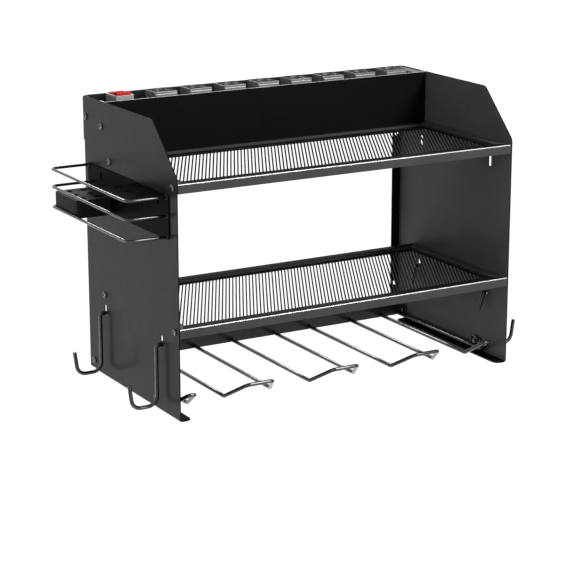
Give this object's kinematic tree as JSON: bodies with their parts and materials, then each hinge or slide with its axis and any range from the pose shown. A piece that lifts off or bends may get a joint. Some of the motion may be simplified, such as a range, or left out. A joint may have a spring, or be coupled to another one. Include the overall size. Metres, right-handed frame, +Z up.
{
  "type": "wall mounted power tool organizer",
  "caption": "Steel wall organizer for cordless tools: slotted shelves, a switched power strip, a wire drill rack, J hooks and a side caddy.",
  "frame": {"origin": "centre of the wall rail's rear face, on the wall plane", "axes": "+X along the shelves to the right seen from the front, +Y into the wall, +Z up"},
  "size_m": [0.5216, 0.23, 0.326],
  "materials": {
    "powder_coat": "satin black powder coat",
    "wire_gloss": "gloss black coat",
    "strip_plastic": "fine grained",
    "black_plastic": "satin",
    "red_plastic": "gloss",
    "bezel_metal": "satin",
    "screw_steel": "black zinc"
  },
  "bodies": {
    "frame": {"left_side_panel": "powder_coat", "right_side_panel": "powder_coat", "top_shelf_frame": "powder_coat", "top_shelf_mesh": "powder_coat", "middle_shelf_frame": "powder_coat", "middle_shelf_mesh": "powder_coat", "back_plate": "powder_coat", "wall_rail": "powder_coat", "lower_rail": "powder_coat", "power_strip_housing": "strip_plastic", "outlet_1": "strip_plastic", "outlet_2": "strip_plastic", "outlet_3": "strip_plastic", "outlet_4": "strip_plastic", "outlet_5": "strip_plastic", "outlet_6": "strip_plastic", "outlet_7": "strip_plastic", "outlet_8": "strip_plastic", "switch_bezel": "bezel_metal", "cord_gland": "black_plastic", "rack_left_loop": "wire_gloss", "rack_middle_loop": "wire_gloss", "rack_right_loop": "wire_gloss", "rack_left_end_loop": "wire_gloss", "rack_right_end_loop": "wire_gloss", "left_top_shelf_front_screw": "screw_steel", "left_top_shelf_rear_screw": "screw_steel", "left_middle_shelf_front_screw": "screw_steel", "left_middle_shelf_rear_screw": "screw_steel", "left_back_plate_screw": "screw_steel", "left_wall_rail_screw": "screw_steel", "left_rack_screw": "screw_steel", "left_lower_rail_screw": "screw_steel", "right_top_shelf_front_screw": "screw_steel", "right_top_shelf_rear_screw": "screw_steel", "right_middle_shelf_front_screw": "screw_steel", "right_middle_shelf_rear_screw": "screw_steel", "right_back_plate_screw": "screw_steel", "right_wall_rail_screw": "screw_steel", "right_rack_screw": "screw_steel", "right_lower_rail_screw": "screw_steel"},
    "rocker": {"switch_rocker": "red_plastic"},
    "caddy": {"caddy_back_plate": "powder_coat", "caddy_top_plate": "powder_coat", "caddy_bit_block": "black_plastic", "caddy_top_wire": "wire_gloss", "caddy_middle_wire": "wire_gloss", "caddy_bottom_wire": "wire_gloss"},
    "left_front_hook": {"left_front_hook": "wire_gloss"},
    "left_rear_hook": {"left_rear_hook": "wire_gloss"},
    "right_front_hook": {"right_front_hook": "wire_gloss"},
    "right_rear_hook": {"right_rear_hook": "wire_gloss"}
  },
  "joints": [
    {"name": "switch_rock", "type": "hinge", "parent": "frame", "child": "rocker", "pos_m": [-0.1793, -0.0223, 0.025], "axis": [1, 0, 0], "range_deg": [0, 16]},
    {"name": "caddy_lift", "type": "slide", "parent": "frame", "child": "caddy", "axis": [0, 0, 1], "range_m": [0, 0.0055]},
    {"name": "left_front_hook_lift", "type": "slide", "parent": "frame", "child": "left_front_hook", "axis": [0, 0, 1], "range_m": [0, 0.007]},
    {"name": "left_rear_hook_lift", "type": "slide", "parent": "frame", "child": "left_rear_hook", "axis": [0, 0, 1], "range_m": [0, 0.007]},
    {"name": "right_front_hook_lift", "type": "slide", "parent": "frame", "child": "right_front_hook", "axis": [0, 0, 1], "range_m": [0, 0.007]},
    {"name": "right_rear_hook_lift", "type": "slide", "parent": "frame", "child": "right_rear_hook", "axis": [0, 0, 1], "range_m": [0, 0.007]}
  ]
}
